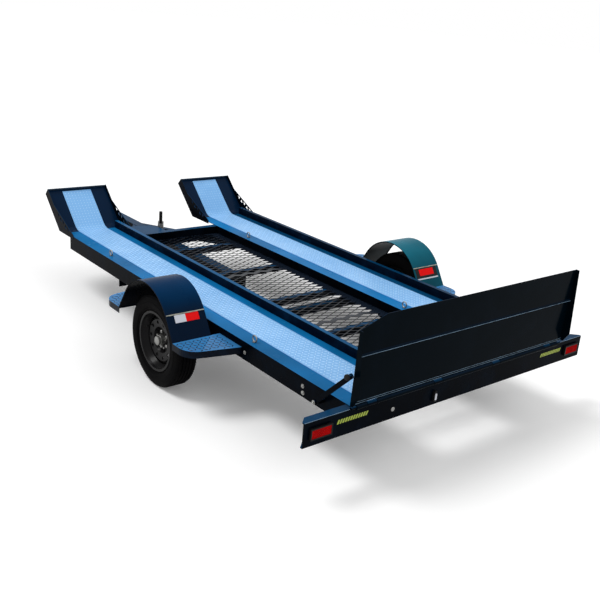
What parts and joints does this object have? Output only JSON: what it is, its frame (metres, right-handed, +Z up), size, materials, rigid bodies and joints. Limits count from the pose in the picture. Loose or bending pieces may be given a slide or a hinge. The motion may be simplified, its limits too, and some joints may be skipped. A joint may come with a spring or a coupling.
{
  "type": "utility vehicle trailer",
  "caption": "Low single-axle trailer for a utility terrain vehicle, with folded wheel tracks, angled wheel stops, a mesh centre, a drop tailgate, mudguards with side steps and a drawbar",
  "frame": {"origin": "on the ground, at the middle of the bounding box", "axes": "+X the trailer's right-hand side, +Y forward to the drawbar, +Z up"},
  "size_m": [2.214, 4.7026, 0.9078],
  "materials": {
    "frame_paint": "satin",
    "sheet_paint": "gloss",
    "step_paint": "gloss",
    "rim_paint": "satin",
    "checker_aluminium": "brushed",
    "zinc_steel": "satin",
    "tyre_rubber": "matte",
    "grip_black": "matte",
    "lamp_red": "gloss"
  },
  "bodies": {
    "chassis": {"side_beam_left": "frame_paint", "side_beam_right": "frame_paint", "inner_beams": "frame_paint", "cross_members": "frame_paint", "front_cross_beam": "frame_paint", "rear_beam": "frame_paint", "track_left": "sheet_paint", "track_right": "sheet_paint", "checker_strip_left": "checker_aluminium", "checker_strip_right": "checker_aluminium", "wheel_stop_left": "sheet_paint", "wheel_stop_right": "sheet_paint", "stop_cheeks": "frame_paint", "mesh_rear": "frame_paint", "mesh_middle": "frame_paint", "mesh_front": "frame_paint", "drawbar": "frame_paint", "drawbar_braces": "frame_paint", "coupler": "frame_paint", "coupler_lever": "zinc_steel", "jockey_clamp": "frame_paint", "jockey_tube": "zinc_steel", "jockey_leg": "zinc_steel", "jockey_wheel": "tyre_rubber", "axle": "frame_paint", "leaf_springs": "frame_paint", "spring_hangers": "frame_paint", "mudguard_left": "sheet_paint", "mudguard_right": "sheet_paint", "outriggers": "frame_paint", "steps_front": "step_paint", "steps_rear": "step_paint", "drawbar_step": "sheet_paint", "tailgate_hinges": "frame_paint", "stay_brackets": "frame_paint", "tail_lamps": "lamp_red", "tie_rings": "zinc_steel"},
    "tailgate": {"tailgate": "frame_paint"},
    "stay_left": {"stay_left": "frame_paint"},
    "stay_right": {"stay_right": "frame_paint"},
    "wheel_left": {"hub_left": "zinc_steel", "rim_left": "rim_paint", "tyre_left": "tyre_rubber"},
    "wheel_right": {"hub_right": "zinc_steel", "rim_right": "rim_paint", "tyre_right": "tyre_rubber"},
    "jockey_crank": {"jockey_crank": "grip_black"}
  },
  "joints": [
    {"name": "wheel_left_spin", "type": "hinge", "parent": "chassis", "child": "wheel_left", "pos_m": [-0.987, -0.82872, 0.28], "axis": [1, 0, 0], "continuous": true},
    {"name": "wheel_right_spin", "type": "hinge", "parent": "chassis", "child": "wheel_right", "pos_m": [0.987, -0.82872, 0.28], "axis": [1, 0, 0], "continuous": true},
    {"name": "tailgate_hinge", "type": "hinge", "parent": "chassis", "child": "tailgate", "pos_m": [0, -2.29872, 0.447], "axis": [1, 0, 0], "range_deg": [0, 150]},
    {"name": "stay_left_swing", "type": "hinge", "parent": "chassis", "child": "stay_left", "pos_m": [-0.847, -2.06072, 0.382], "axis": [-1, 0, 0], "range_deg": [0, 132]},
    {"name": "stay_right_swing", "type": "hinge", "parent": "chassis", "child": "stay_right", "pos_m": [0.847, -2.06072, 0.382], "axis": [-1, 0, 0], "range_deg": [0, 132]},
    {"name": "jockey_crank_turn", "type": "hinge", "parent": "chassis", "child": "jockey_crank", "pos_m": [0.075, 1.09928, 0.405], "axis": [0, 0, 1], "continuous": true}
  ]
}
